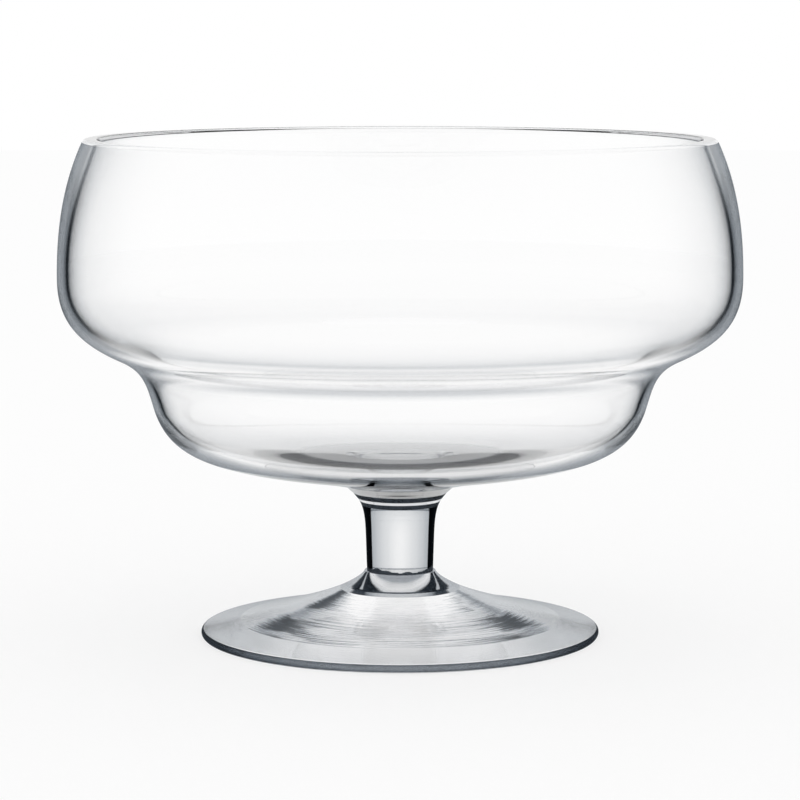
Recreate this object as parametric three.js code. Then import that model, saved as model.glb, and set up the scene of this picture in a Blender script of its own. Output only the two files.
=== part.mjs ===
// Footed glass centerpiece bowl: a blown bowl with a stepped wall, a solid drawn stem and a spun foot,
// sealed to one another while hot. Millimetres, +Z up, origin in the middle of the face it stands on.
import * as THREE from 'three';

const TOTAL_HEIGHT = 183.4; // table to rim

// Bowl, from its underside up: heights of the stations down its outer wall
const WAIST_HEIGHT = 29.7; // underside to the narrowest part of the lower tier's wall
const SHOULDER_RISE = 19.3; // waist to the middle of the shoulder
const BELLY_RISE = 28; // shoulder to the widest part

// Bowl: outer radius at each station
const RIM_RADIUS = 115;
const BELLY_RADIUS = 125;
const SHOULDER_RADIUS = 105.3;
const WAIST_RADIUS = 90.5;
const SEAL_RADIUS = 20.5; // the flat pad where bowl and stem are sealed

// Bowl: how far the wall leans at each station, in degrees
const RIM_LEAN = 24.8; // drawn in towards the rim, from the vertical
const SHOULDER_SLOPE = 24.6; // below the horizontal
const WAIST_LEAN = 16; // from the vertical
const BASE_SLOPE = 14.2; // below the horizontal, where the underside meets the pad

// Bowl: glass thickness
const RIM_WIDTH = 5.2; // the cut and polished top face with its two edges
const RIM_ROUNDING = 1.2; // the softened edges of that face
const BELLY_WALL = 3.4;
const SHOULDER_WALL = 3.4;
const WAIST_WALL = 3;
const FLOOR_THICKNESS = 6.8; // in the middle of the floor
const FLOOR_RADIUS = 45; // of the gently hollow floor, before it turns up into the wall
const FLOOR_SLOPE = 5.8; // of that floor at its edge, in degrees

// Stem: solid, flared into the bowl's pad and then almost straight
const STEM_LENGTH = 32;
const FLARE_LENGTH = 19.5;
const FLARE_ANGLE = 42; // below the horizontal, at the pad
const NECK_RADIUS = 12.6; // where the flare ends
const STEM_TAPER = 1.8; // from the vertical, in degrees, below the flare

// Foot: a post under the stem, a concave cone and a rounded edge, hollowed a little underneath
const FOOT_HEIGHT = 24; // table to the seal with the stem
const POST_MARGIN = 0.9; // how far the post stands proud of the stem all round
const POST_STEEPNESS = 72; // below the horizontal, at the seal
const COLLAR_RADIUS = 23;
const COLLAR_DROP = 6.8; // seal to the collar
const COLLAR_SLOPE = 24.7; // below the horizontal
const FOOT_RADIUS = 73.5;
const EDGE_THICKNESS = 3.3;
const EDGE_SLOPE = 10.6; // of the cone where it meets the rounded edge
const STANDING_RING = 10; // width of the flat ring that the foot stands on
const KICK_HEIGHT = 0.6; // hollow under the foot, at the axis
const KICK_SLOPE = 1; // of the hollow where it meets that ring

// How full each curve is: the pull of its first and its last point, as shares of its chord
const RIM_TO_BELLY = [0.3, 0.404];
const BELLY_TO_SHOULDER = [0.403, 0.445];
const SHOULDER_TO_WAIST = [0.479, 0.413];
const WAIST_TO_BASE = [0.329, 0.545];
const WAIST_TO_FLOOR = [0.31, 0.56];
const FLOOR = [0.33, 0.33];
const FLARE = [0.398, 0.593];
const POST_TO_COLLAR = [0.194, 0.311];
const COLLAR_TO_EDGE = [0.231, 0.331];
const KICK = [0.4, 0.5];

// Facets: round the axis, along a short and a long curve, over the floor, round the foot's edge, over a
// softened edge
const TURNS = 64;
const CURVE_STEPS = 6;
const LONG_CURVE_STEPS = 9;
const FLOOR_STEPS = 4;
const EDGE_STEPS = 6;
const ROUNDING_STEPS = 2;

// A station of a profile: a point in (radius, height) and the heading, in degrees, that the outline has
// there. Heading 0 points away from the axis and -90 straight down.
function station(radius, height, heading) {
  return { point: new THREE.Vector2(radius, height), heading };
}

function direction(heading) {
  const angle = THREE.MathUtils.degToRad(heading);
  return new THREE.Vector2(Math.cos(angle), Math.sin(angle));
}

// The same station moved through the wall, at right angles to it, from the outside to the inside.
function through(outer, wall) {
  const inner = outer.point.clone().addScaledVector(direction(outer.heading - 90), wall);
  return { point: inner, heading: outer.heading };
}

// The smooth curve from one station to the next, without its first point.
function sweep(from, to, [firstPull, lastPull], steps = CURVE_STEPS) {
  const chord = from.point.distanceTo(to.point);
  const leaving = from.point.clone().addScaledVector(direction(from.heading), chord * firstPull);
  const arriving = to.point.clone().addScaledVector(direction(to.heading), -chord * lastPull);
  return new THREE.CubicBezierCurve(from.point, leaving, arriving, to.point).getPoints(steps).slice(1);
}

// A corner rounded off: from one point to another, bending round the corner between them.
function rounded(from, corner, to) {
  return new THREE.QuadraticBezierCurve(from, corner, to).getPoints(ROUNDING_STEPS);
}

// A closed solid turned about +Z. The outline runs from the axis, over the outside, back to the axis.
function turned(outline) {
  return new THREE.LatheGeometry(outline, TURNS).rotateX(Math.PI / 2);
}

// Bowl: the outside runs up from the pad to the rim, the inside down from the rim to the floor.
function bowlGeometry() {
  const shoulderHeight = WAIST_HEIGHT + SHOULDER_RISE;
  const bellyHeight = shoulderHeight + BELLY_RISE;
  const rimHeight = TOTAL_HEIGHT - FOOT_HEIGHT - STEM_LENGTH;
  const rim = station(RIM_RADIUS, rimHeight, RIM_LEAN - 90);
  const belly = station(BELLY_RADIUS, bellyHeight, -90);
  const shoulder = station(SHOULDER_RADIUS, shoulderHeight, SHOULDER_SLOPE - 180);
  const waist = station(WAIST_RADIUS, WAIST_HEIGHT, -90 - WAIST_LEAN);
  const pad = station(SEAL_RADIUS, 0, BASE_SLOPE - 180);
  const lip = station(RIM_RADIUS - RIM_WIDTH, rimHeight, RIM_LEAN - 90);
  const innerBelly = through(belly, BELLY_WALL);
  const innerShoulder = through(shoulder, SHOULDER_WALL);
  const innerWaist = through(waist, WAIST_WALL);
  const floorRise = FLOOR_RADIUS * Math.tan(THREE.MathUtils.degToRad(FLOOR_SLOPE)) / 2;
  const floorEdge = station(FLOOR_RADIUS, FLOOR_THICKNESS + floorRise, FLOOR_SLOPE - 180);
  const floorMiddle = station(0, FLOOR_THICKNESS, -180);

  const downTheWall = direction(RIM_LEAN - 90).multiplyScalar(RIM_ROUNDING);
  const acrossTheRim = new THREE.Vector2(RIM_ROUNDING, 0);
  const outerWallTop = { point: rim.point.clone().add(downTheWall), heading: rim.heading };
  const innerWallTop = { point: lip.point.clone().add(downTheWall), heading: lip.heading };
  const outside = [
    outerWallTop.point,
    ...sweep(outerWallTop, belly, RIM_TO_BELLY),
    ...sweep(belly, shoulder, BELLY_TO_SHOULDER),
    ...sweep(shoulder, waist, SHOULDER_TO_WAIST),
    ...sweep(waist, pad, WAIST_TO_BASE, LONG_CURVE_STEPS),
  ];
  const inside = [
    ...sweep(innerWallTop, innerBelly, RIM_TO_BELLY),
    ...sweep(innerBelly, innerShoulder, BELLY_TO_SHOULDER),
    ...sweep(innerShoulder, innerWaist, SHOULDER_TO_WAIST),
    ...sweep(innerWaist, floorEdge, WAIST_TO_FLOOR, LONG_CURVE_STEPS),
    ...sweep(floorEdge, floorMiddle, FLOOR, FLOOR_STEPS),
  ];
  const outerEdge = rounded(outerWallTop.point, rim.point, rim.point.clone().sub(acrossTheRim));
  const innerEdge = rounded(lip.point.clone().add(acrossTheRim), lip.point, innerWallTop.point);
  return turned([
    new THREE.Vector2(0, 0),
    ...outside.reverse(),
    ...outerEdge.slice(1),
    ...innerEdge,
    ...inside,
  ]);
}

// Stem: the flare that spreads on the bowl's pad, and the shank, which narrows a little to the foot.
function stemEndRadius() {
  const shank = STEM_LENGTH - FLARE_LENGTH;
  return NECK_RADIUS - shank * Math.tan(THREE.MathUtils.degToRad(STEM_TAPER));
}

function stemGeometry() {
  const pad = station(SEAL_RADIUS, STEM_LENGTH, FLARE_ANGLE - 180);
  const neck = station(NECK_RADIUS, STEM_LENGTH - FLARE_LENGTH, -90 - STEM_TAPER);
  const flare = [pad.point, ...sweep(pad, neck, FLARE)];
  return turned([
    new THREE.Vector2(0, 0),
    new THREE.Vector2(stemEndRadius(), 0),
    ...flare.reverse(),
    new THREE.Vector2(0, STEM_LENGTH),
  ]);
}

// Foot: the hollow and the standing ring below, the rounded edge, then the cone up to the post.
function footGeometry() {
  const edgeRadius = EDGE_THICKNESS / 2;
  const edgeCentre = new THREE.Vector2(FOOT_RADIUS - edgeRadius, edgeRadius);
  const post = station(stemEndRadius() + POST_MARGIN, FOOT_HEIGHT, -POST_STEEPNESS);
  const collar = station(COLLAR_RADIUS, FOOT_HEIGHT - COLLAR_DROP, -COLLAR_SLOPE);
  const edgeTop = {
    point: edgeCentre.clone().addScaledVector(direction(90 - EDGE_SLOPE), edgeRadius),
    heading: -EDGE_SLOPE,
  };
  const top = [
    post.point,
    ...sweep(post, collar, POST_TO_COLLAR),
    ...sweep(collar, edgeTop, COLLAR_TO_EDGE),
  ];
  const edgeArc = new THREE.EllipseCurve(
    edgeCentre.x, edgeCentre.y, edgeRadius, edgeRadius,
    -Math.PI / 2, THREE.MathUtils.degToRad(90 - EDGE_SLOPE),
  );
  const hollowTop = station(0, KICK_HEIGHT, 0);
  const ringInside = station(edgeCentre.x - STANDING_RING, 0, -KICK_SLOPE);
  return turned([
    hollowTop.point,
    ...sweep(hollowTop, ringInside, KICK),
    ...edgeArc.getPoints(EDGE_STEPS).slice(0, -1),
    ...top.reverse(),
    new THREE.Vector2(0, FOOT_HEIGHT),
  ]);
}

// Clear, colourless glass with a fire-polished surface
function clearGlass(colour) {
  return new THREE.MeshStandardMaterial({
    color: colour, roughness: 0.03, metalness: 0, transparent: true, opacity: 0.35,
  });
}

function piece(name, geometry, colour, height) {
  const mesh = new THREE.Mesh(geometry, clearGlass(colour));
  mesh.name = name;
  mesh.position.z = height;
  return mesh;
}

// The stack: the foot on the table, the stem on the foot's post, the bowl on the stem's flare
const centerpiece = new THREE.Group();
centerpiece.add(piece('foot', footGeometry(), 0xe4eaec, 0));
centerpiece.add(piece('stem', stemGeometry(), 0xe9eef0, FOOT_HEIGHT));
centerpiece.add(piece('bowl', bowlGeometry(), 0xeef3f4, FOOT_HEIGHT + STEM_LENGTH));

export default centerpiece;
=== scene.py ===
import math

import bpy
import numpy as np
from bpy.props import FloatProperty, FloatVectorProperty, IntProperty, PointerProperty
from bpy.types import Operator, Panel, PropertyGroup
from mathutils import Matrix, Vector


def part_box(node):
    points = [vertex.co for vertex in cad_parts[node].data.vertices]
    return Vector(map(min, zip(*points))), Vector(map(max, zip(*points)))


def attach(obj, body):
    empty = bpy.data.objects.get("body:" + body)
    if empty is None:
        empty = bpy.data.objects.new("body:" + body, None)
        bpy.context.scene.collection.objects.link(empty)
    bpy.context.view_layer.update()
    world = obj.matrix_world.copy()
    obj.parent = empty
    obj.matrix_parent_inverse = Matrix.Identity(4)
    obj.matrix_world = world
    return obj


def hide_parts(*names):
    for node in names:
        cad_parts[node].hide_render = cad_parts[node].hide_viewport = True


bl_info = {
    "name": "Glass Centerpiece Bowl",
    "version": (1, 0, 0),
    "blender": (4, 5, 0),
    "location": "3D View > Sidebar > Centerpiece",
    "description": "Dresses the frame of a footed glass bowl and sets it in a plain white studio",
    "category": "Add Mesh",
}

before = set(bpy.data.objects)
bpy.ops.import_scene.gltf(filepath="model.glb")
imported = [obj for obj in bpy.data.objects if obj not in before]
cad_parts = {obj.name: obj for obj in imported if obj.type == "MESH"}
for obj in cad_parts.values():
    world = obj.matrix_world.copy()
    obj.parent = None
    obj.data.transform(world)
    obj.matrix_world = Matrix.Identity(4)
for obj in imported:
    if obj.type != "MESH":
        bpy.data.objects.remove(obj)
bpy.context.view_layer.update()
BOWL_LOW, BOWL_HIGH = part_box("bowl")
STEM_LOW, STEM_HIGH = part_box("stem")
FOOT_LOW, FOOT_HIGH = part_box("foot")

MM = 0.001
TAU = 2.0 * math.pi
QUARTER = math.pi / 2
WHITE = (1.0, 1.0, 1.0, 1.0)

# The glasses of each piece, in the order of its material slots
OUTSIDE, BOWL_SEAL, INSIDE, BASE, RIM, FLOOR, HEEL = range(7)
SHANK, STEM_SEAL, FLARE, NECK = range(4)
CONE, FOOT_SEAL, POST, RING, EDGE, MARGIN, BEND = range(7)

# How full each curve of an outline is: the pulls of its first and its last point, as shares of its chord
RIM_TO_BELLY = (0.3, 0.404)
BELLY_TO_SHOULDER = (0.403, 0.445)
SHOULDER_TO_WAIST = (0.479, 0.413)
WAIST_TO_BASE = (0.329, 0.545)
WAIST_TO_FLOOR = (0.31, 0.56)
OVER_THE_FLOOR = (0.33, 0.33)
DOWN_THE_FLARE = (0.398, 0.593)
POST_TO_COLLAR = (0.194, 0.311)
COLLAR_TO_EDGE = (0.231, 0.331)
UNDER_THE_FOOT = (0.4, 0.5)

# Facets along each stretch of an outline
WALL_STEPS = 36  # rim to belly
SHOULDER_STEPS = 30  # belly to shoulder, and shoulder to waist
TURN_STEPS = 44  # waist to the seal outside, and to the floor inside
FLOOR_STEPS = 20
ROUNDING_STEPS = 6
FLARE_STEPS = 90
SHANK_STEPS = 50
POST_STEPS = 90
CONE_STEPS = 150
EDGE_STEPS = 24
HOLLOW_STEPS = 40

# Facets of the foot's rounded edge that its dark line leaves out, on its underside and on its top
EDGE_BELOW = 6
EDGE_ABOVE = 3

# Faces that meet at more than this angle are shaded as an edge
SHARP_ANGLE = math.radians(40.0)

# The unevenness of hand work: the seed of its waves, and how often each wave goes round the axis
WOBBLE_SEED = 7
WOBBLE_WAVES = (2, 3, 5)
SEAM_SEED = 11
SEAM_WAVES = (3, 7, 12, 19)

# Sockets of a Mix node for colours, whose names repeat
SHARE, FIRST, SECOND = 0, 6, 7
MIXED = 2

# Painted shade in the glass is a touch blue: the powers of a grey that give its red and its blue
RED_POWER = 1.07
BLUE_POWER = 0.93

# The range that a noise mostly keeps to
NOISE_LOW = 0.3
NOISE_HIGH = 0.7

# Patches of painted shade on the foot's cone, placed by a slow noise: its turns as a share of the streaks',
# and the noise where the painted shade begins and where it is full
SHADE_PATCH_TURNS = 0.6
SHADE_PATCH_START = 0.44
SHADE_PATCH_FULL = 0.54

# Upward part of the normal where glass begins to count as level, and where it is level
LEVEL_START = 0.5
LEVEL_FULL = 0.8

# The studio overhead, as seen through glass: the upward part of a ray where white begins to darken and where
# it is darkest, and the grey that it has there
OVERHEAD_START = 0.2
OVERHEAD_FULL = 0.6
OVERHEAD_GREY = (0.75, 0.75, 0.77, 1.0)

# The floor and the camera
FLOOR_SIDES = 96
FLOOR_DROP = 0.02 * MM  # keeps the floor clear of the foot
SENSOR_WIDTH = 36.0  # in millimetres, as cameras have it

# Bounces of light, enough for the walls of the bowl seen edgeways
GLASS_BOUNCES = 40
MIRROR_BOUNCES = 24

# Shares of light, as pairs of the viewing angle's cosine, 1 face on and 0 grazing, and the share there.
# PASS dims what goes into the glass, MIRROR what its outside mirrors, WITHIN what is mirrored inside it, and
# DULL is what a dull skin scatters on the way out. The low shares of PASS, MIRROR and WITHIN are painted
# shade
# and painted dark reflections: they stand for the dark screens beside a white studio, which the scene does
# not have, and they draw the lines in clear glass. EVEN lets all light by, at every angle.
EVEN = ((1.0, 1.0), (0.0, 1.0))

# The bowl's outer skin
OUTSIDE_PASS = ((1.0, 1.0), (0.29, 1.0), (0.235, 0.65), (0.12, 0.5), (0.0, 0.45))
OUTSIDE_MIRROR = (
    (1.0, 1.0), (0.7, 1.0), (0.6, 0.75), (0.5, 0.4), (0.42, 0.3), (0.33, 0.34), (0.27, 0.25), (0.245, 0.06),
    (0.21, 0.06), (0.18, 0.2), (0.12, 0.25), (0.0, 0.2),
)

# The step in that skin. ZONE, where the step lies, and the rings of painted shade go by the height, as a
# share of the bowl's. PASS and MIRROR hold in the zone, and SEEN says how much of the painted rings shows.
STEP_ZONE = ((1.0, 0.0), (0.44, 0.0), (0.416, 1.0), (0.369, 1.0), (0.345, 0.0), (0.0, 0.0))
STEP_SHADE_RINGS = (
    (1.0, 1.0), (0.51, 1.0), (0.479, 0.96), (0.467, 0.93), (0.458, 0.89), (0.45, 0.83), (0.441, 0.72),
    (0.433, 0.97), (0.423, 0.86), (0.414, 1.0), (0.383, 1.0), (0.372, 0.84), (0.363, 0.71), (0.353, 0.71),
    (0.344, 0.88), (0.331, 1.0), (0.0, 1.0),
)
STEP_PASS = ((1.0, 1.0), (0.2, 1.0), (0.14, 0.7), (0.1, 0.5), (0.0, 0.45))
STEP_MIRROR = ((1.0, 1.0), (0.25, 1.0), (0.18, 0.7), (0.12, 0.3), (0.0, 0.2))
STEP_SEEN = ((1.0, 1.0), (0.44, 1.0), (0.3, 0.0), (0.0, 0.0))

# The bowl's inner skin, which holds the painted dark line in the wall, and what is left of that line at the
# lip
INSIDE_PASS = ((1.0, 1.0), (0.14, 1.0), (0.12, 0.5), (0.1, 0.0), (0.0, 0.0))
INSIDE_MIRROR = (
    (1.0, 1.0), (0.6, 1.0), (0.42, 0.78), (0.33, 0.62), (0.25, 0.52), (0.18, 0.5), (0.14, 0.4), (0.11, 0.0),
    (0.0, 0.0),
)
INSIDE_WITHIN = (
    (1.0, 1.0), (0.78, 1.0), (0.763, 0.5), (0.753, 0.0), (0.744, 0.0), (0.7425, 0.45), (0.738, 0.65),
    (0.733, 0.85), (0.68, 1.0), (0.0, 1.0),
)
LIP_WITHIN = (
    (1.0, 1.0), (0.8, 1.0), (0.76, 0.6), (0.746, 0.5), (0.743, 0.9), (0.7, 0.95), (0.65, 1.0), (0.0, 1.0),
)

# The bowl's floor, its heel, its underside with the dull ring round the seal, and its cut rim
FLOOR_MIRROR = (
    (1.0, 1.0), (0.6, 1.0), (0.42, 0.7), (0.33, 0.5), (0.25, 0.39), (0.21, 0.25), (0.185, 0.04),
    (0.173, 0.08), (0.16, 0.75), (0.0, 0.95),
)
BASE_PASS = ((1.0, 1.0), (0.4, 1.0), (0.3, 0.6), (0.2, 0.4), (0.1, 0.35), (0.0, 0.3))
HEEL_MIRROR = ((1.0, 1.0), (0.5, 0.9), (0.4, 0.8), (0.3, 0.5), (0.2, 0.38), (0.1, 0.3), (0.0, 0.22))
BASE_MIRROR = (
    (1.0, 1.0), (0.5, 0.9), (0.4, 0.8), (0.3, 0.5), (0.2, 0.4), (0.17, 0.68), (0.1, 0.72), (0.055, 0.95),
    (0.03, 0.7), (0.0, 0.55),
)
BASE_WITHIN = (
    (1.0, 1.0), (0.75, 1.0), (0.742, 0.0), (0.72, 0.03), (0.68, 0.08), (0.6, 0.3), (0.5, 0.85), (0.0, 0.95),
)
BASE_DULL = ((1.0, 0.6), (0.0, 0.6))
RIM_PASS = ((1.0, 1.0), (0.1, 1.0), (0.0, 0.8))
RIM_DULL = ((1.0, 0.0), (0.66, 0.0), (0.58, 0.7), (0.0, 0.7))

# The stem's shank, its flare, and the painted dark rings of its neck
STEM_PASS = (
    (1.0, 1.0), (0.99, 0.93), (0.96, 0.84), (0.92, 0.76), (0.86, 0.7), (0.78, 0.61), (0.66, 0.5),
    (0.56, 0.45), (0.545, 0.0), (0.0, 0.0),
)
STEM_MIRROR = ((1.0, 0.9), (0.7, 0.8), (0.56, 0.3), (0.54, 0.02), (0.0, 0.02))
STEM_WITHIN = ((1.0, 1.0), (0.0, 0.9))
FLARE_PASS = ((1.0, 1.0), (0.3, 1.0), (0.0, 0.7))
FLARE_MIRROR = ((1.0, 1.0), (0.3, 0.9), (0.0, 0.6))
NECK_PASS = ((1.0, 0.06), (0.0, 0.0))
NECK_MIRROR = ((1.0, 0.2), (0.0, 0.1))

# The foot's post, the ring under it, and the bend into the cone
POST_PASS = (
    (1.0, 0.4), (0.9, 0.36), (0.77, 0.4), (0.7, 0.75), (0.62, 0.88), (0.56, 0.7), (0.53, 0.02), (0.44, 0.02),
    (0.43, 0.5), (0.405, 0.5), (0.395, 0.02), (0.29, 0.02), (0.25, 0.45), (0.0, 0.45),
)
POST_MIRROR = ((1.0, 0.9), (0.56, 0.8), (0.53, 0.1), (0.3, 0.15), (0.25, 0.6), (0.0, 0.5))
RING_PASS = ((1.0, 0.15), (0.6, 0.12), (0.55, 0.02), (0.38, 0.02), (0.34, 0.45), (0.0, 0.45))
RING_MIRROR = ((1.0, 0.25), (0.55, 0.1), (0.38, 0.1), (0.34, 0.6), (0.0, 0.5))
BEND_PASS = ((1.0, 0.7), (0.58, 0.6), (0.53, 0.3), (0.5, 0.05), (0.42, 0.05), (0.38, 0.5), (0.0, 0.45))
BEND_MIRROR = ((1.0, 0.9), (0.53, 0.6), (0.5, 0.12), (0.42, 0.12), (0.38, 0.65), (0.0, 0.5))

# The foot's cone, its patches of painted shade, its smooth margin, and its rolled edge
CONE_PASS = (
    (1.0, 1.0), (0.445, 1.0), (0.415, 0.86), (0.37, 0.68), (0.33, 0.5), (0.3, 0.32), (0.28, 0.38),
    (0.255, 0.55), (0.12, 0.58), (0.0, 0.45),
)
# Painted shade in patches: the cone's glass darker at low viewing angles where the slow noise says
SHADE_PATCH_PASS = (
    (1.0, 1.0), (0.445, 0.96), (0.415, 0.8), (0.38, 0.5), (0.36, 0.2), (0.34, 0.03), (0.28, 0.02),
    (0.262, 0.25), (0.235, 0.55), (0.12, 0.58), (0.0, 0.45),
)
CONE_MIRROR = (
    (1.0, 1.0), (0.45, 1.0), (0.36, 0.75), (0.325, 0.5), (0.3, 0.3), (0.28, 0.35), (0.25, 0.7), (0.15, 0.72),
    (0.0, 0.5),
)
MARGIN_PASS = ((1.0, 1.0), (0.45, 0.95), (0.38, 0.85), (0.32, 0.62), (0.25, 0.55), (0.12, 0.58), (0.0, 0.45))
MARGIN_MIRROR = ((1.0, 0.9), (0.45, 0.85), (0.3, 0.7), (0.0, 0.5))
EDGE_PASS = ((1.0, 0.26), (0.85, 0.2), (0.65, 0.1), (0.45, 0.03), (0.0, 0.01))
EDGE_MIRROR = ((1.0, 0.45), (0.7, 0.3), (0.45, 0.12), (0.0, 0.06))


def length(name, description, millimetres):
    """A length property whose default is given in millimetres."""
    metres = millimetres * MM
    return FloatProperty(name=name, description=description, default=metres, unit="LENGTH", precision=5)


def lean(name, description, degrees):
    """An angle property whose default is given in degrees."""
    return FloatProperty(name=name, description=description, default=math.radians(degrees), subtype="ANGLE")


def srgb(code):
    """An sRGB hex colour such as "f4f6f7" as linear red, green and blue."""
    parts = [int(code[i:i + 2], 16) / 255.0 for i in (0, 2, 4)]
    return [c / 12.92 if c <= 0.04045 else ((c + 0.055) / 1.055) ** 2.4 for c in parts]


def colour(name, description, code):
    """A colour property whose default is an sRGB hex value."""
    return FloatVectorProperty(
        name=name, description=description, default=srgb(code), subtype="COLOR", min=0, max=1,
    )


class BowlShape(PropertyGroup):
    """Sizes of the blown bowl, at the stations down its wall."""

    rim_radius: length("Rim radius", "Outer radius at the cut rim", 115.0)
    rim_width: length("Rim width", "Width of the polished top face with its edges", 5.2)
    rim_rounding: length("Rim rounding", "Softened edges of the rim", 1.2)
    lip_height: length("Lip height", "Over which the dark line in the wall fades out to the rim", 30.0)
    rim_lean: lean("Rim lean", "Lean of the wall at the rim, from the vertical", 24.8)
    belly_height: length("Belly height", "Widest part, over the bowl's underside", 77.0)
    belly_wall: length("Belly wall", "Glass thickness at the widest part", 3.4)
    shoulder_radius: length("Shoulder radius", "Outer radius in the middle of the shoulder", 105.3)
    shoulder_height: length("Shoulder height", "Middle of the shoulder, over the underside", 49.0)
    shoulder_slope: lean("Shoulder slope", "Slope of the shoulder, below the horizontal", 24.6)
    shoulder_wall: length("Shoulder wall", "Glass thickness at the shoulder", 3.4)
    waist_radius: length("Waist radius", "Outer radius at the waist", 90.5)
    waist_height: length("Waist height", "Waist, over the underside", 29.7)
    waist_lean: lean("Waist lean", "Lean of the wall at the waist, from the vertical", 16.0)
    waist_wall: length("Waist wall", "Glass thickness at the waist", 3.0)
    base_slope: lean("Base slope", "Slope of the underside where it meets the seal", 14.2)
    base_radius: length("Base radius", "Where the underside turns into the heel", 75.0)
    heel_radius: length("Heel radius", "Where the heel turns into the outer wall", 88.0)
    turn_radius: length("Turn radius", "Where the floor turns into the inner wall", 82.0)
    floor_thickness: length("Floor thickness", "Glass thickness in the middle of the floor", 6.8)
    floor_radius: length("Floor radius", "Of the gently hollow floor, before it turns up", 45.0)
    floor_slope: lean("Floor slope", "Slope of the hollow floor at that radius", 5.8)
    wobble: length("Wobble", "How far the hand-blown wall strays from round", 0.12)


class StemShape(PropertyGroup):
    """Sizes of the solid stem."""

    flare_length: length("Flare length", "Height of the flare under the bowl", 19.5)
    flare_angle: lean("Flare angle", "Slope of the flare at the seal, below the horizontal", 42.0)
    neck_radius: length("Neck radius", "Radius where the flare ends", 12.6)
    end_radius: length("End radius", "Radius at the seal with the foot", 12.2)
    groove_drop: length("Groove drop", "Seal with the bowl down to the ring left by the jacks", 2.8)
    groove_depth: length("Groove depth", "How deep that ring is pressed in", 0.15)
    groove_width: length("Groove width", "Half width of that ring", 0.5)
    # The upper and lower dark rings are bands of painted shade on the stem's glass
    upper_ring_top: length("Upper ring top", "Seal with the bowl down to the upper dark ring", 2.8)
    upper_ring_end: length("Upper ring end", "Seal with the bowl down to the end of that ring", 4.8)
    lower_ring_top: length("Lower ring top", "Seal with the bowl down to the lower dark ring", 5.8)
    lower_ring_end: length("Lower ring end", "Seal with the bowl down to the end of that ring", 7.5)
    seam_height: length("Seam height", "Mean height of the uneven seam over the foot", 1.3)
    seam_stray: length("Seam stray", "How far the seam's edge strays", 0.45)


class FootShape(PropertyGroup):
    """Sizes of the spun foot."""

    post_margin: length("Post margin", "How far the post stands proud of the stem", 0.9)
    post_steepness: lean("Post steepness", "Slope of the post's side, below the horizontal", 72.0)
    # The dark ring is painted shade on the foot's glass
    post_radius: length("Post radius", "Where the post's side ends in a dark ring", 19.4)
    ring_radius: length("Ring radius", "Outside of that ring", 20.2)
    bend_radius: length("Bend radius", "Where the post has bent into its skirt", 22.2)
    margin_radius: length("Margin radius", "Where the marks of the tool end", 59.0)
    collar_radius: length("Collar radius", "Middle of the skirt", 23.0)
    collar_drop: length("Collar drop", "Seal down to the collar", 6.8)
    collar_slope: lean("Collar slope", "Slope of the cone at the collar", 24.7)
    edge_thickness: length("Edge thickness", "Thickness of the rounded edge", 3.3)
    edge_slope: lean("Edge slope", "Slope of the cone at the edge", 10.6)
    standing_ring: length("Standing ring", "Width of the flat ring that it stands on", 10.0)
    kick_height: length("Kick height", "Hollow under the foot, at the axis", 0.6)
    kick_slope: lean("Kick slope", "Slope of the hollow where it meets the standing ring", 1.0)


class GlassFinish(PropertyGroup):
    """The glass, the marks of the tools on it, and where its painted shade lies."""

    ior: FloatProperty(
        name="IOR", description="Index of refraction of soda-lime glass", default=1.5, min=1.0,
    )
    streak_depth: length("Streak depth", "Depth of the foot's tool streaks", 0.1)
    streak_width: length("Streak width", "Width of the foot's tool streaks", 1.1)
    streak_turns: FloatProperty(
        name="Streak turns", description="How fast the streaks change round the foot", default=2.5, min=0.0,
    )
    streak_fade: length("Streak fade", "Radius where the streaks begin to fade out", 56.0)
    streak_end: length("Streak end", "Radius where the streaks have faded out", 66.0)
    # Where the foot's cone gets patches of painted shade: the width of a patch, and where the patches begin
    shade_patch_width: length("Pass width", "Width of one pass of the foot's tool", 9.0)
    shade_patch_start: FloatProperty(
        name="Pass start", description="Where the passes begin, in widths", default=0.5,
    )
    # The post's painted shade: how far it moves outwards along the post, and the noise that mottles it
    shift: FloatProperty(
        name="Shift", description="How far the post's shares of light move towards face on", default=0.07,
    )
    shift_radius: length("Shift radius", "Radius of the post's side where they have moved so far", 20.5)
    shade_mottle_width: length("Lump width", "Of the post's uneven side, 13 lumps in 100 mm", 100.0 / 13.0)
    shade_mottle_stray: FloatProperty(
        name="Lump stray", description="How far the lumps move those shares", default=0.014,
    )
    satin_radius: length("Satin radius", "Of the dull ring in the underside round the seal", 37.5)
    satin_fade: length("Satin fade", "How softly a dull skin ends, to both sides", 3.0)


class StudioSettings(PropertyGroup):
    """The plain white studio and its camera."""

    floor_colour: colour("Floor", "Pale floor", "f8f8f8")
    floor_radius: length("Floor radius", "Half width of the round floor", 4000.0)
    floor_lift: FloatProperty(
        name="Floor lift",
        description="Share of white laid over the floor and its shadow, to the eye and in glass",
        default=0.7, min=0.0, max=1.0, subtype="FACTOR",
    )
    camera_distance: length("Camera distance", "From the bowl's axis, along -Y", 1186.7)
    camera_height: length("Camera height", "Over the floor", 232.55)
    camera_pitch: lean("Camera pitch", "Looking down by", 6.981)
    camera_lens: FloatProperty(name="Lens", description="Focal length on a 36 mm sensor", default=146.35)


class CenterpieceSettings(PropertyGroup):
    """All settings of the centerpiece."""

    turns: IntProperty(name="Turns", description="Facets round the axis of each piece", default=256, min=3)
    bowl: PointerProperty(type=BowlShape)
    stem: PointerProperty(type=StemShape)
    foot: PointerProperty(type=FootShape)
    glass: PointerProperty(type=GlassFinish)
    studio: PointerProperty(type=StudioSettings)


def station(radius, height, heading):
    """A point of an outline and the unit vector that it follows there (heading 0 is outwards)."""
    return np.array([radius, height]), np.array([math.cos(heading), math.sin(heading)])


def through(outer, wall):
    """The station moved through the wall, at right angles to it, from the outside to the inside."""
    point, way = outer
    return point + wall * np.array([way[1], -way[0]]), way


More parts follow.
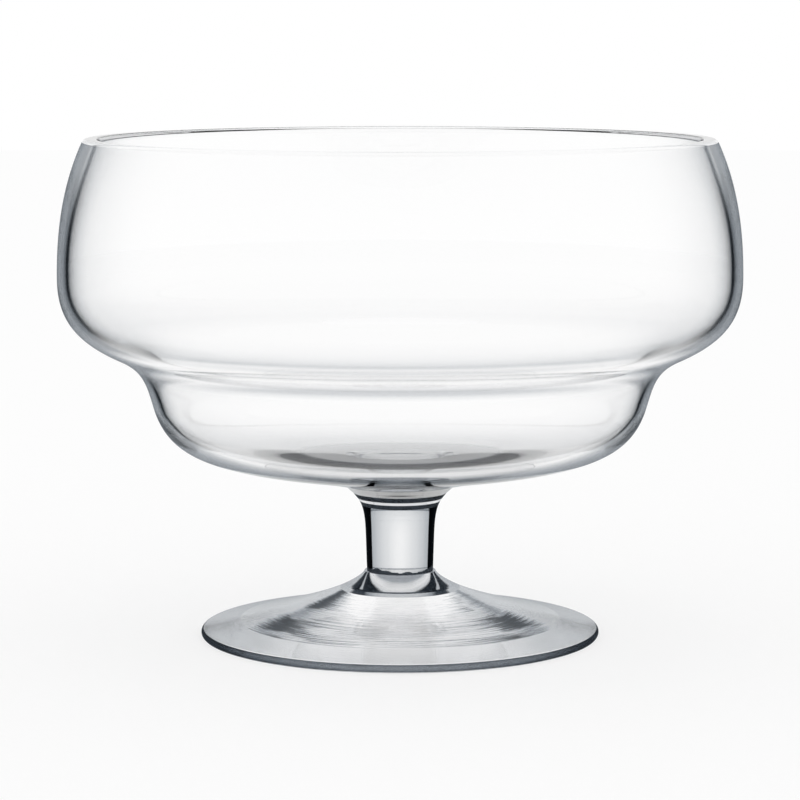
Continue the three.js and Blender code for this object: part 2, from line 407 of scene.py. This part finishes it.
def sweep(start, end, pulls, steps):
    """Cubic Bezier curve between two stations, less its first point. Its pulls are shares of the chord."""
    (p0, d0), (p3, d3) = start, end
    chord = np.linalg.norm(p3 - p0)
    p1 = p0 + d0 * chord * pulls[0]
    p2 = p3 - d3 * chord * pulls[1]
    t = np.linspace(0.0, 1.0, steps + 1)[1:, None]
    return (1 - t) ** 3 * p0 + 3 * (1 - t) ** 2 * t * p1 + 3 * (1 - t) * t**2 * p2 + t**3 * p3


def rounded(start, corner, end):
    """Quadratic Bezier curve that rounds a corner off, with both its ends."""
    t = np.linspace(0.0, 1.0, ROUNDING_STEPS + 1)[:, None]
    return (1 - t) ** 2 * start + 2 * (1 - t) * t * corner + t**2 * end


def bowl_outline(shape):
    """The bowl's outside, rim and inside, each as rows of (radius, height).

    Cubic curves join the stations of the outside, which runs up from the seal to the rim. The inside joins
    the same stations moved through the wall, and ends on a floor whose middle is lower than its edge.
    Quadratic curves round the two edges of the rim.
    """
    base = BOWL_LOW.z
    rim_way = shape.rim_lean - QUARTER
    rim = station(shape.rim_radius, BOWL_HIGH.z, rim_way)
    lip = station(shape.rim_radius - shape.rim_width, BOWL_HIGH.z, rim_way)
    belly = station(BOWL_HIGH.x, base + shape.belly_height, -QUARTER)
    shoulder = station(shape.shoulder_radius, base + shape.shoulder_height, shape.shoulder_slope - math.pi)
    waist = station(shape.waist_radius, base + shape.waist_height, -QUARTER - shape.waist_lean)
    pad = station(STEM_HIGH.x, base, shape.base_slope - math.pi)
    inner_belly = through(belly, shape.belly_wall)
    inner_shoulder = through(shoulder, shape.shoulder_wall)
    inner_waist = through(waist, shape.waist_wall)
    floor_height = base + shape.floor_thickness
    floor_rise = shape.floor_radius * math.tan(shape.floor_slope) / 2
    floor = station(shape.floor_radius, floor_height + floor_rise, shape.floor_slope - math.pi)
    middle = station(0.0, floor_height, -math.pi)
    down_wall = rim[1] * shape.rim_rounding
    across = np.array([shape.rim_rounding, 0.0])
    outer_top = (rim[0] + down_wall, rim[1])
    inner_top = (lip[0] + down_wall, lip[1])
    outside = np.vstack([
        outer_top[0],
        sweep(outer_top, belly, RIM_TO_BELLY, WALL_STEPS),
        sweep(belly, shoulder, BELLY_TO_SHOULDER, SHOULDER_STEPS),
        sweep(shoulder, waist, SHOULDER_TO_WAIST, SHOULDER_STEPS),
        sweep(waist, pad, WAIST_TO_BASE, TURN_STEPS),
    ])[::-1]
    edges = np.vstack([
        rounded(outer_top[0], rim[0], rim[0] - across)[1:],
        rounded(lip[0] + across, lip[0], inner_top[0]),
    ])
    inside = np.vstack([
        sweep(inner_top, inner_belly, RIM_TO_BELLY, WALL_STEPS),
        sweep(inner_belly, inner_shoulder, BELLY_TO_SHOULDER, SHOULDER_STEPS),
        sweep(inner_shoulder, inner_waist, SHOULDER_TO_WAIST, SHOULDER_STEPS),
        sweep(inner_waist, floor, WAIST_TO_FLOOR, TURN_STEPS),
        sweep(floor, middle, OVER_THE_FLOOR, FLOOR_STEPS),
    ])
    return outside, edges, inside


def stem_outline(shape):
    """The stem as rows of (radius, height), up from the middle of its seal with the foot.

    A straight shank runs from its end to the neck, and a cubic curve from there to the seal with the bowl.
    """
    top = STEM_HIGH.z
    bottom = STEM_LOW.z
    neck_height = top - shape.flare_length
    taper = math.atan2(shape.neck_radius - shape.end_radius, neck_height - bottom)
    pad = station(STEM_HIGH.x, top, shape.flare_angle - math.pi)
    neck = station(shape.neck_radius, neck_height, -QUARTER - taper)
    end = np.array([shape.end_radius, bottom])
    flare = np.vstack([pad[0], sweep(pad, neck, DOWN_THE_FLARE, FLARE_STEPS)])
    shank = np.linspace(neck[0], end, SHANK_STEPS + 1)[1:]
    side = np.vstack([flare, shank])[::-1]
    return np.vstack([[0.0, bottom], side, [0.0, top]])


def foot_outline(shape, stem_end):
    """The foot's hollow, edge and top, each as rows of (radius, height), from below to above.

    The hollow is a cubic curve out to the standing ring, the edge an arc round the rim of the disc, and the
    top two cubic curves up to the post, then level in to the stem and to the axis.
    """
    table = FOOT_LOW.z
    top = FOOT_HIGH.z
    half_edge = shape.edge_thickness / 2
    edge_centre = np.array([FOOT_HIGH.x - half_edge, table + half_edge])
    post = station(stem_end + shape.post_margin, top, -shape.post_steepness)
    collar = station(shape.collar_radius, top - shape.collar_drop, -shape.collar_slope)
    edge_turn = np.linspace(-QUARTER, QUARTER - shape.edge_slope, EDGE_STEPS + 1)
    edge = edge_centre + half_edge * np.stack([np.cos(edge_turn), np.sin(edge_turn)], axis=-1)
    edge_top = station(*edge[-1], -shape.edge_slope)
    cone = np.vstack([
        post[0],
        sweep(post, collar, POST_TO_COLLAR, POST_STEPS),
        sweep(collar, edge_top, COLLAR_TO_EDGE, CONE_STEPS)[:-1],
    ])[::-1]
    hollow_top = station(0.0, table + shape.kick_height, 0.0)
    ring_inside = station(edge_centre[0] - shape.standing_ring, table, -shape.kick_slope)
    hollow = np.vstack([hollow_top[0], sweep(hollow_top, ring_inside, UNDER_THE_FOOT, HOLLOW_STEPS)])
    return hollow, edge, np.vstack([cone, [stem_end, top], [0.0, top]])


def around(turns):
    """The angles of the facets round the axis."""
    return np.linspace(0.0, TAU, turns, endpoint=False)


def waves(angle, seed, orders, size):
    """A sum of cosines of the angle with seeded phases and falling heights, about size in amplitude."""
    phases = np.random.default_rng(seed).uniform(0.0, TAU, len(orders))
    return size * sum(np.cos(n * angle + p) / (i + 1) for i, (n, p) in enumerate(zip(orders, phases)))


def spread(outline, turns, glass):
    """Radius and height of an outline on a grid of (row, angle), and a grid of one glass for its facets."""
    radius = np.repeat(outline[:, :1], turns, axis=1)
    height = np.repeat(outline[:, 1:], turns, axis=1)
    return radius, height, np.full((len(outline) - 1, turns), glass)


def turned_mesh(name, radius, height, bands):
    """A closed mesh turned about +Z: the point at row i and angle a is (r cos a, r sin a, z).

    r and z come from the grids radius and height. Their first and last rows lie on the axis and become one
    vertex each. bands holds the material of the faces between two rows, at each angle.
    """
    rows, turns = radius.shape
    angle = around(turns)
    rings = np.stack([radius * np.cos(angle), radius * np.sin(angle), height], axis=-1)[1:-1]
    poles = np.array([[0.0, 0.0, height[0].mean()], [0.0, 0.0, height[-1].mean()]])
    points = np.vstack([rings.reshape(-1, 3), poles])
    first_pole = len(points) - 2
    j = np.arange(turns)
    k = (j + 1) % turns
    start = (np.arange(rows - 3) * turns)[:, None]
    quads = np.stack([start + j, start + k, start + turns + k, start + turns + j], axis=-1).reshape(-1, 4)
    bottom = np.stack([np.full(turns, first_pole), k, j], axis=-1)
    last = (rows - 3) * turns
    top = np.stack([np.full(turns, first_pole + 1), last + j, last + k], axis=-1)
    faces = [*bottom.tolist(), *quads.tolist(), *top.tolist()]
    mesh = bpy.data.meshes.new(name)
    mesh.from_pydata(points.tolist(), [], faces)
    mesh.polygons.foreach_set("use_smooth", np.ones(len(faces), dtype=bool))
    mesh.polygons.foreach_set("material_index", np.ascontiguousarray(bands, dtype=np.int32).ravel())
    mesh.set_sharp_from_angle(angle=SHARP_ANGLE)
    mesh.validate()
    piece = bpy.data.objects.new(name, mesh)
    bpy.context.scene.collection.objects.link(piece)
    return piece


def settle(piece, node, glasses):
    """Gives a piece its glasses, puts it on the frame and lets it stand for its CAD node."""
    for glass in glasses:
        piece.data.materials.append(glass)
    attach(piece, "root")
    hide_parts(node)


def add(tree, kind, inputs=None, **settings):
    """Adds a node, sets its attributes, and sets or links its inputs."""
    made = tree.nodes.new(kind)
    for key, value in settings.items():
        setattr(made, key, value)
    for key, value in (inputs or {}).items():
        if isinstance(value, bpy.types.NodeSocket):
            tree.links.new(value, made.inputs[key])
        else:
            made.inputs[key].default_value = value
    return made


def new_material(name):
    """A material with an empty node tree."""
    material = bpy.data.materials.new(name)
    material.use_nodes = True
    material.node_tree.nodes.clear()
    return material, material.node_tree


def fused_seal():
    """Hot glass pressed to hot glass: the two have become one, so nothing shows inside the joint."""
    name = "fused_glass_seal"
    if name in bpy.data.materials:
        return bpy.data.materials[name]
    material, tree = new_material(name)
    clear = add(tree, "ShaderNodeBsdfTransparent", {"Color": WHITE})
    add(tree, "ShaderNodeOutputMaterial", {"Surface": clear.outputs[0]})
    return material


def from_axis(tree):
    """The level way out from the piece's axis, as a vector in metres, and its length."""
    where = add(tree, "ShaderNodeTexCoord")
    out = add(tree, "ShaderNodeVectorMath", {
        0: where.outputs["Object"], 1: (1.0, 1.0, 0.0),
    }, operation="MULTIPLY")
    reach = add(tree, "ShaderNodeVectorMath", {0: out.outputs[0]}, operation="LENGTH")
    return out.outputs[0], reach.outputs["Value"]


def over_table(tree):
    """The height over the table, in metres."""
    where = add(tree, "ShaderNodeTexCoord")
    return add(tree, "ShaderNodeSeparateXYZ", {"Vector": where.outputs["Object"]}).outputs["Z"]


def shade(tree, fall, stops):
    """A grey, a touch bluer the darker it is, from pairs of a value and the share of light there: painted
    shade where it tints the glass, and a plain share where it masks.

    The value is the viewing angle's cosine, or the height as a share of the bowl's. It falls from 1 to 0,
    and fall is 1 less the value.
    """
    ramp = add(tree, "ShaderNodeValToRGB", {"Fac": fall})
    stones = ramp.color_ramp.elements
    stones[0].position = 1.0 - stops[0][0]
    stones[1].position = 1.0 - stops[-1][0]
    for value, _ in stops[1:-1]:
        stones.new(1.0 - value)
    for stone, (_, level) in zip(stones, stops):
        stone.color = (level**RED_POWER, level, level**BLUE_POWER, 1.0)
    return ramp.outputs[0]


def tool_streaks(tree, finish):
    """A normal with long thin streaks round the foot's axis, as the paddle leaves, and a mask of patches of
    painted shade.

    The noise of the streaks is read at (unit vector from the axis x turns, radius / streak width) and fades
    out at the edge. A second, slower noise places the patches of painted shade, which break the dark streaks
    into patches.
    """
    out, reach = from_axis(tree)
    way = add(tree, "ShaderNodeVectorMath", {0: out}, operation="NORMALIZE")
    turned = add(tree, "ShaderNodeVectorMath", {
        0: way.outputs[0], "Scale": finish.streak_turns,
    }, operation="SCALE")
    rings = add(tree, "ShaderNodeMath", {0: reach, 1: finish.streak_width}, operation="DIVIDE")
    lift = add(tree, "ShaderNodeCombineXYZ", {"Z": rings.outputs[0]})
    place = add(tree, "ShaderNodeVectorMath", {0: turned.outputs[0], 1: lift.outputs[0]}, operation="ADD")
    streaks = add(tree, "ShaderNodeTexNoise", {"Vector": place.outputs[0], "Scale": 1.0, "Detail": 3.0})
    calm = add(tree, "ShaderNodeMapRange", {
        "Value": reach, "From Min": finish.streak_end, "From Max": finish.streak_fade,
    }, interpolation_type="SMOOTHSTEP")
    depth = add(tree, "ShaderNodeMath", {
        0: streaks.outputs["Fac"], 1: calm.outputs[0],
    }, operation="MULTIPLY")
    bump = add(tree, "ShaderNodeBump", {
        "Height": depth.outputs[0], "Distance": finish.streak_depth, "Strength": 1.0,
    })
    slow = add(tree, "ShaderNodeVectorMath", {
        0: place.outputs[0], 1: (SHADE_PATCH_TURNS, SHADE_PATCH_TURNS, finish.streak_width / finish.shade_patch_width),
    }, operation="MULTIPLY")
    begun = add(tree, "ShaderNodeVectorMath", {
        0: slow.outputs[0], 1: (0.0, 0.0, finish.shade_patch_start),
    }, operation="ADD")
    passes = add(tree, "ShaderNodeTexNoise", {"Vector": begun.outputs[0], "Scale": 1.0, "Detail": 2.0})
    # The mask of the patches of painted shade on the cone
    pressed = add(tree, "ShaderNodeMapRange", {
        "Value": passes.outputs["Fac"], "From Min": SHADE_PATCH_START, "From Max": SHADE_PATCH_FULL,
    }, interpolation_type="SMOOTHSTEP")
    return bump.outputs[0], pressed.outputs[0]


def post_facing(tree, facing):
    """How far the post's side turns from the eye, read as more the further out it lies, and unevenly: this
    moves and mottles the post's painted shade.

    What is added grows evenly from nothing at the post's top to the shift, and strays with a noise, which
    paints a mottle into the shade of the smooth post.
    """
    settings = bpy.context.scene.centerpiece
    finish = settings.glass
    shift = add(tree, "ShaderNodeMapRange", {
        "Value": from_axis(tree)[1],
        "From Min": settings.stem.end_radius + settings.foot.post_margin,
        "From Max": finish.shift_radius,
        "To Max": finish.shift,
    }, clamp=False)
    where = add(tree, "ShaderNodeTexCoord")
    # A noise that mottles the post's painted shade; the mesh has no lumps
    lumps = add(tree, "ShaderNodeTexNoise", {
        "Vector": where.outputs["Object"], "Scale": 1.0 / finish.shade_mottle_width, "Detail": 1.0,
    })
    stray = add(tree, "ShaderNodeMapRange", {
        "Value": lumps.outputs["Fac"],
        "From Min": NOISE_LOW,
        "From Max": NOISE_HIGH,
        "To Min": -finish.shade_mottle_stray,
        "To Max": finish.shade_mottle_stray,
    })
    shifted = add(tree, "ShaderNodeMath", {0: facing, 1: shift.outputs[0]}, operation="ADD")
    uneven = add(tree, "ShaderNodeMath", {0: shifted.outputs[0], 1: stray.outputs[0]}, operation="ADD")
    return uneven.outputs[0]


def inner_wall(tree, facing, painted_shades):
    """Takes the painted shade off the glass where it lies level over the white table, and fades the wall's
    painted dark line to the rim.
    """
    side = add(tree, "ShaderNodeNewGeometry")
    parts = add(tree, "ShaderNodeSeparateXYZ", {"Vector": side.outputs["Normal"]})
    tilt = add(tree, "ShaderNodeMath", {0: parts.outputs["Z"]}, operation="ABSOLUTE")
    level = add(tree, "ShaderNodeMapRange", {
        "Value": tilt.outputs[0], "From Min": LEVEL_START, "From Max": LEVEL_FULL,
    }, interpolation_type="SMOOTHSTEP")
    for key in ("passing", "within"):
        cleared = add(tree, "ShaderNodeMix", {
            SHARE: level.outputs[0], FIRST: painted_shades[key], SECOND: WHITE,
        }, data_type="RGBA")
        painted_shades[key] = cleared.outputs[MIXED]
    lip_height = bpy.context.scene.centerpiece.bowl.lip_height
    near_rim = add(tree, "ShaderNodeMapRange", {
        "Value": over_table(tree), "From Min": BOWL_HIGH.z - lip_height, "From Max": BOWL_HIGH.z,
    }, interpolation_type="SMOOTHSTEP")
    faded = add(tree, "ShaderNodeMix", {
        SHARE: near_rim.outputs[0], FIRST: painted_shades["within"], SECOND: shade(tree, facing, LIP_WITHIN),
    }, data_type="RGBA")
    painted_shades["within"] = faded.outputs[MIXED]


def stepped_wall(tree, facing, painted_shades):
    """Gives the zone of the wall's step its own painted shade, and dims what passes with rings of painted
    shade.
    """
    depth = add(tree, "ShaderNodeMapRange", {
        "Value": over_table(tree), "From Min": BOWL_HIGH.z, "From Max": BOWL_LOW.z,
    }).outputs[0]
    zone = shade(tree, depth, STEP_ZONE)
    for key, stops in (("passing", STEP_PASS), ("mirrored", STEP_MIRROR)):
        zoned = add(tree, "ShaderNodeMix", {
            SHARE: zone, FIRST: painted_shades[key], SECOND: shade(tree, facing, stops),
        }, data_type="RGBA")
        painted_shades[key] = zoned.outputs[MIXED]
    dimmed = add(tree, "ShaderNodeMix", {
        SHARE: shade(tree, facing, STEP_SEEN),
        FIRST: painted_shades["passing"],
        SECOND: shade(tree, depth, STEP_SHADE_RINGS),
    }, data_type="RGBA", blend_type="MULTIPLY")
    painted_shades["passing"] = dimmed.outputs[MIXED]


def dulled(tree, glass, facing, leaving, shares, radius):
    """The glass with a dull skin out to a radius, which scatters shares of the light that is leaving it."""
    fade = bpy.context.scene.centerpiece.glass.satin_fade
    skin = add(tree, "ShaderNodeMapRange", {
        "Value": from_axis(tree)[1], "From Min": radius + fade, "From Max": radius - fade,
    }, interpolation_type="SMOOTHSTEP")
    outward = add(tree, "ShaderNodeMath", {0: skin.outputs[0], 1: leaving}, operation="MULTIPLY")
    share = add(tree, "ShaderNodeMath", {
        0: outward.outputs[0], 1: shade(tree, facing, shares),
    }, operation="MULTIPLY")
    dull = add(tree, "ShaderNodeBsdfTranslucent", {"Color": WHITE})
    return add(tree, "ShaderNodeMixShader", {0: share.outputs[0], 1: glass.outputs[0], 2: dull.outputs[0]})


def clear_glass(name, passing, mirrored, within, change=None, tooled=False, shifted=False, satin=None):
    """Clear soda-lime glass, fire-polished: it passes what is behind it and mirrors the room.

    passing, mirrored and within are painted shade by viewing angle: greys that dim what goes in, what is
    mirrored outside and what is mirrored inside the glass. change is a function that alters them by place.
    tooled adds the streaks of the shaping tool as a bump, and patches of painted shade. shifted reads
    passing and mirrored as they lie on the post, moved and mottled as painted shade. satin gives the shares
    of a dull skin and the radius that it reaches out to.
    """
    finish = bpy.context.scene.centerpiece.glass
    material, tree = new_material(name)
    weight = add(tree, "ShaderNodeLayerWeight", {"Blend": 0.5})
    edge = add(tree, "ShaderNodeFresnel", {"IOR": finish.ior})
    side = add(tree, "ShaderNodeNewGeometry")
    leaving = side.outputs["Backfacing"]
    facing = weight.outputs["Facing"]
    outer_facing = post_facing(tree, facing) if shifted else facing
    # Greys of painted shade by viewing angle, which tint what is refracted and mirrored
    painted_shades = {
        "passing": shade(tree, outer_facing, passing),
        "mirrored": shade(tree, outer_facing, mirrored),
        "within": shade(tree, facing, within),
    }
    if change:
        change(tree, facing, painted_shades)
    if tooled:
        # The tool marks as a bump, and the mask of the patches of painted shade
        normal, pressed = tool_streaks(tree, finish)
        streaked = add(tree, "ShaderNodeMix", {
            SHARE: pressed, FIRST: painted_shades["passing"], SECOND: shade(tree, facing, SHADE_PATCH_PASS),
        }, data_type="RGBA")
        painted_shades["passing"] = streaked.outputs[MIXED]
    bent = add(tree, "ShaderNodeMix", {
        SHARE: leaving, FIRST: painted_shades["passing"], SECOND: WHITE,
    }, data_type="RGBA")
    thrown = add(tree, "ShaderNodeMix", {
        SHARE: leaving, FIRST: painted_shades["mirrored"], SECOND: painted_shades["within"],
    }, data_type="RGBA")
    bend = add(tree, "ShaderNodeBsdfRefraction", {
        "Color": bent.outputs[MIXED], "Roughness": 0.0, "IOR": finish.ior,
    })
    mirror = add(tree, "ShaderNodeBsdfGlossy", {"Color": thrown.outputs[MIXED], "Roughness": 0.0})
    glass = add(tree, "ShaderNodeMixShader", {0: edge.outputs[0], 1: bend.outputs[0], 2: mirror.outputs[0]})
    if tooled:
        for node in (weight, edge, bend, mirror):
            tree.links.new(normal, node.inputs["Normal"])
    if satin:
        glass = dulled(tree, glass, facing, leaving, *satin)
    add(tree, "ShaderNodeOutputMaterial", {"Surface": glass.outputs[0]})
    return material


class CENTERPIECE_OT_bowl(Operator):
    """Blows the stepped bowl, with its cut rim and thick floor"""

    bl_idname = "centerpiece.bowl"
    bl_label = "Bowl"

    def execute(self, context):
        settings = context.scene.centerpiece
        shape = settings.bowl
        outside, edges, inside = bowl_outline(shape)
        outline = np.vstack([[0.0, BOWL_LOW.z], outside, edges, inside])
        radius, height, bands = spread(outline, settings.turns, OUTSIDE)
        share = np.clip((outline[:, 1:] - BOWL_LOW.z) / (BOWL_HIGH.z - BOWL_LOW.z), 0.0, 1.0)
        stray = waves(around(settings.turns), WOBBLE_SEED, WOBBLE_WAVES, shape.wobble)[None, :] * share
        radius = radius + np.where(radius > shape.floor_radius, stray, 0.0)
        below = outside[:TURN_STEPS + 1, 0]
        bands[:len(below)][below < shape.heel_radius] = HEEL
        bands[:len(below)][below < shape.base_radius] = BASE
        bands[0] = BOWL_SEAL
        bands[len(outside):-len(inside)] = RIM
        bands[-len(inside):] = INSIDE
        bands[-len(inside):][inside[:, 0] < shape.turn_radius] = FLOOR
        piece = turned_mesh("bowl_glass", radius, height, bands)
        settle(piece, "bowl", (
            # The outer skin of the wall: clear face on, a grey line of painted shade where it is seen
            # edgeways
            clear_glass("blown_glass_outside", OUTSIDE_PASS, OUTSIDE_MIRROR, EVEN, change=stepped_wall),
            fused_seal(),
            # The inner skin: the thin painted dark line a little inside the outline
            clear_glass("blown_glass_inside", INSIDE_PASS, INSIDE_MIRROR, INSIDE_WITHIN, change=inner_wall),
            # The underside of the thick base: painted dim from within, which draws the painted dark crescent
            # in the floor
            clear_glass(
                "blown_glass_base", BASE_PASS, BASE_MIRROR, BASE_WITHIN,
                satin=(BASE_DULL, settings.glass.satin_radius),
            ),
            # The cut rim: ground and polished, bright face on and softly dull seen aslant
            clear_glass("polished_glass_rim", RIM_PASS, EVEN, EVEN, satin=(RIM_DULL, BOWL_HIGH.x)),
            # The floor inside: clear, with a painted dark line where it is seen at a low angle
            clear_glass("blown_glass_floor", EVEN, FLOOR_MIRROR, EVEN),
            # The heel, where the wall turns under: painted grey towards the outline
            clear_glass("blown_glass_heel", BASE_PASS, HEEL_MIRROR, EVEN),
        ))
        return {"FINISHED"}


class CENTERPIECE_OT_stem(Operator):
    """Draws the solid stem, flared under the bowl"""

    bl_idname = "centerpiece.stem"
    bl_label = "Stem"

    def execute(self, context):
        settings = context.scene.centerpiece
        shape = settings.stem
        radius, height, bands = spread(stem_outline(shape), settings.turns, SHANK)
        groove = (height - (STEM_HIGH.z - shape.groove_drop)) / shape.groove_width
        radius = radius - np.where(radius > 0.0, shape.groove_depth * np.exp(-groove**2), 0.0)
        middle = (height[1:] + height[:-1]) / 2
        drop = STEM_HIGH.z - middle
        bands[drop < shape.lower_ring_end] = NECK
        bands[drop < shape.lower_ring_top] = FLARE
        bands[drop < shape.upper_ring_end] = NECK
        bands[drop < shape.upper_ring_top] = FLARE
        stray = waves(around(settings.turns), SEAM_SEED, SEAM_WAVES, shape.seam_stray)
        bands[middle - STEM_LOW.z < shape.seam_height + stray[None, :]] = NECK
        bands[[0, -1]] = STEM_SEAL
        piece = turned_mesh("stem_glass", radius, height, bands)
        settle(piece, "stem", (
            # The solid shank: bright in the middle, painted black bands at both sides
            clear_glass("drawn_glass", STEM_PASS, STEM_MIRROR, STEM_WITHIN),
            fused_seal(),
            # The flare: it shows what goes on in the base
            clear_glass("flared_glass", FLARE_PASS, FLARE_MIRROR, STEM_WITHIN),
            # Painted dark rings where the flare bends into the shank, and a painted dark seam with the foot
            clear_glass("drawn_glass_neck", NECK_PASS, NECK_MIRROR, STEM_WITHIN),
        ))
        return {"FINISHED"}


class CENTERPIECE_OT_foot(Operator):
    """Spins the foot, with its post, concave cone, rounded edge and hollow"""

    bl_idname = "centerpiece.foot"
    bl_label = "Foot"

    def execute(self, context):
        settings = context.scene.centerpiece
        shape = settings.foot
        hollow, edge, top = foot_outline(shape, settings.stem.end_radius)
        outline = np.vstack([hollow, edge, top])
        radius, height, bands = spread(outline, settings.turns, CONE)
        across = (outline[1:, 0] + outline[:-1, 0]) / 2
        edge_start = len(hollow) + EDGE_BELOW
        edge_end = len(hollow) + EDGE_STEPS - EDGE_ABOVE
        above = np.arange(len(across)) >= edge_end
        bands[above & (across > shape.margin_radius)] = MARGIN
        bands[above & (across < shape.bend_radius)] = BEND
        bands[above & (across < shape.ring_radius)] = RING
        bands[above & (across < shape.post_radius)] = POST
        bands[edge_start:edge_end] = EDGE
        bands[-1] = FOOT_SEAL
        piece = turned_mesh("foot_glass", radius, height, bands)
        settle(piece, "foot", (
            # The spun cone: pale, with painted shade that the bump of the tool marks draws out into dark
            # streaks, and patches of painted shade
            clear_glass("spun_glass", CONE_PASS, CONE_MIRROR, EVEN, tooled=True),
            fused_seal(),
            # The post: a bright bead between painted black sides, then the painted black ring under it
            clear_glass("post_glass", POST_PASS, POST_MIRROR, STEM_WITHIN, shifted=True),
            clear_glass("post_glass_ring", RING_PASS, RING_MIRROR, STEM_WITHIN),
            # The rolled edge: thick glass seen edgeways, painted as the darkest line of the foot
            clear_glass("rolled_glass_edge", EDGE_PASS, EDGE_MIRROR, EVEN),
            # The margin of the cone, smooth as the tool did not reach it
            clear_glass("spun_glass_margin", MARGIN_PASS, MARGIN_MIRROR, EVEN),
            # The bend under the ring, painted darker to both sides
            clear_glass("post_glass_bend", BEND_PASS, BEND_MIRROR, STEM_WITHIN),
        ))
        return {"FINISHED"}


class CENTERPIECE_OT_studio(Operator):
    """Sets the floor, the light and the camera"""

    bl_idname = "centerpiece.studio"
    bl_label = "Studio"

    def execute(self, context):
        scene = context.scene
        studio = scene.centerpiece.studio
        self.make_floor(scene, studio)
        self.make_world(scene)
        self.make_camera(scene, studio)
        scene.view_settings.view_transform = "Standard"
        scene.cycles.max_bounces = GLASS_BOUNCES
        scene.cycles.transmission_bounces = GLASS_BOUNCES
        scene.cycles.glossy_bounces = MIRROR_BOUNCES
        scene.cycles.transparent_max_bounces = MIRROR_BOUNCES
        return {"FINISHED"}

    def make_floor(self, scene, studio):
        """A round floor of matt white paper, lifted to the eye and in glass so that it meets the white
        behind it and still keeps a shadow."""
        angle = around(FLOOR_SIDES)
        level = np.full(FLOOR_SIDES, -FLOOR_DROP)
        x = studio.floor_radius * np.cos(angle)
        y = studio.floor_radius * np.sin(angle)
        mesh = bpy.data.meshes.new("studio_floor")
        mesh.from_pydata(np.stack([x, y, level], axis=-1).tolist(), [], [list(range(FLOOR_SIDES))])
        floor = bpy.data.objects.new("studio_floor", mesh)
        scene.collection.objects.link(floor)
        material, tree = new_material("matt_white_paper")
        matt = add(tree, "ShaderNodeBsdfDiffuse", {"Color": (*studio.floor_colour, 1.0)})
        white = add(tree, "ShaderNodeEmission", {"Strength": 1.0})
        path = add(tree, "ShaderNodeLightPath")
        glassy = add(tree, "ShaderNodeMath", {
            0: path.outputs["Is Transmission Ray"], 1: path.outputs["Is Glossy Ray"],
        }, operation="MAXIMUM")
        seen = add(tree, "ShaderNodeMath", {
            0: glassy.outputs[0], 1: path.outputs["Is Camera Ray"],
        }, operation="MAXIMUM")
        share = add(tree, "ShaderNodeMath", {0: seen.outputs[0], 1: studio.floor_lift}, operation="MULTIPLY")
        paper = add(tree, "ShaderNodeMixShader", {
            0: share.outputs[0], 1: matt.outputs[0], 2: white.outputs[0],
        })
        add(tree, "ShaderNodeOutputMaterial", {"Surface": paper.outputs[0]})
        mesh.materials.append(material)

    def make_world(self, scene):
        """White to the eye and all round the horizon, and darker overhead as seen through glass."""
        world = bpy.data.worlds.new("studio_world")
        world.use_nodes = True
        tree = world.node_tree
        tree.nodes.clear()
        path = add(tree, "ShaderNodeLightPath")
        where = add(tree, "ShaderNodeTexCoord")
        parts = add(tree, "ShaderNodeSeparateXYZ", {"Vector": where.outputs["Generated"]})
        overhead = add(tree, "ShaderNodeValToRGB", {"Fac": parts.outputs["Z"]})
        low, high = overhead.color_ramp.elements
        low.position = OVERHEAD_START
        low.color = WHITE
        high.position = OVERHEAD_FULL
        high.color = OVERHEAD_GREY
        seen = add(tree, "ShaderNodeMix", {
            SHARE: path.outputs["Is Transmission Ray"], FIRST: WHITE, SECOND: overhead.outputs["Color"],
        }, data_type="RGBA")
        light = add(tree, "ShaderNodeBackground", {"Color": seen.outputs[MIXED], "Strength": 1.0})
        add(tree, "ShaderNodeOutputWorld", {"Surface": light.outputs[0]})
        scene.world = world

    def make_camera(self, scene, studio):
        """The photograph's viewpoint: a little over the rim, looking down a little."""
        data = bpy.data.cameras.new("studio_camera")
        data.lens = studio.camera_lens
        data.sensor_width = SENSOR_WIDTH
        camera = bpy.data.objects.new("studio_camera", data)
        camera.location = (0.0, -studio.camera_distance, studio.camera_height)
        camera.rotation_euler = (QUARTER - studio.camera_pitch, 0.0, 0.0)
        scene.collection.objects.link(camera)
        scene.camera = camera


class CENTERPIECE_PT_panel(Panel):
    """The settings and the steps, in order"""

    bl_idname = "CENTERPIECE_PT_panel"
    bl_label = "Glass Centerpiece"
    bl_space_type = "VIEW_3D"
    bl_region_type = "UI"
    bl_category = "Centerpiece"

    def draw(self, context):
        settings = context.scene.centerpiece
        self.layout.prop(settings, "turns")
        for group in (settings.bowl, settings.stem, settings.foot, settings.glass, settings.studio):
            column = self.layout.column(align=True)
            for name in group.__annotations__:
                column.prop(group, name)
        for step in STEPS:
            self.layout.operator(step.bl_idname)


STEPS = (CENTERPIECE_OT_bowl, CENTERPIECE_OT_stem, CENTERPIECE_OT_foot, CENTERPIECE_OT_studio)
GROUPS = (BowlShape, StemShape, FootShape, GlassFinish, StudioSettings, CenterpieceSettings)
CLASSES = (*GROUPS, *STEPS, CENTERPIECE_PT_panel)


def register():
    for item in CLASSES:
        bpy.utils.register_class(item)
    bpy.types.Scene.centerpiece = PointerProperty(type=CenterpieceSettings)


def unregister():
    del bpy.types.Scene.centerpiece
    for item in reversed(CLASSES):
        bpy.utils.unregister_class(item)


def main():
    """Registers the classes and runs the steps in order."""
    register()
    bpy.ops.centerpiece.bowl()
    bpy.ops.centerpiece.stem()
    bpy.ops.centerpiece.foot()
    bpy.ops.centerpiece.studio()


if __name__ == "__main__":
    main()
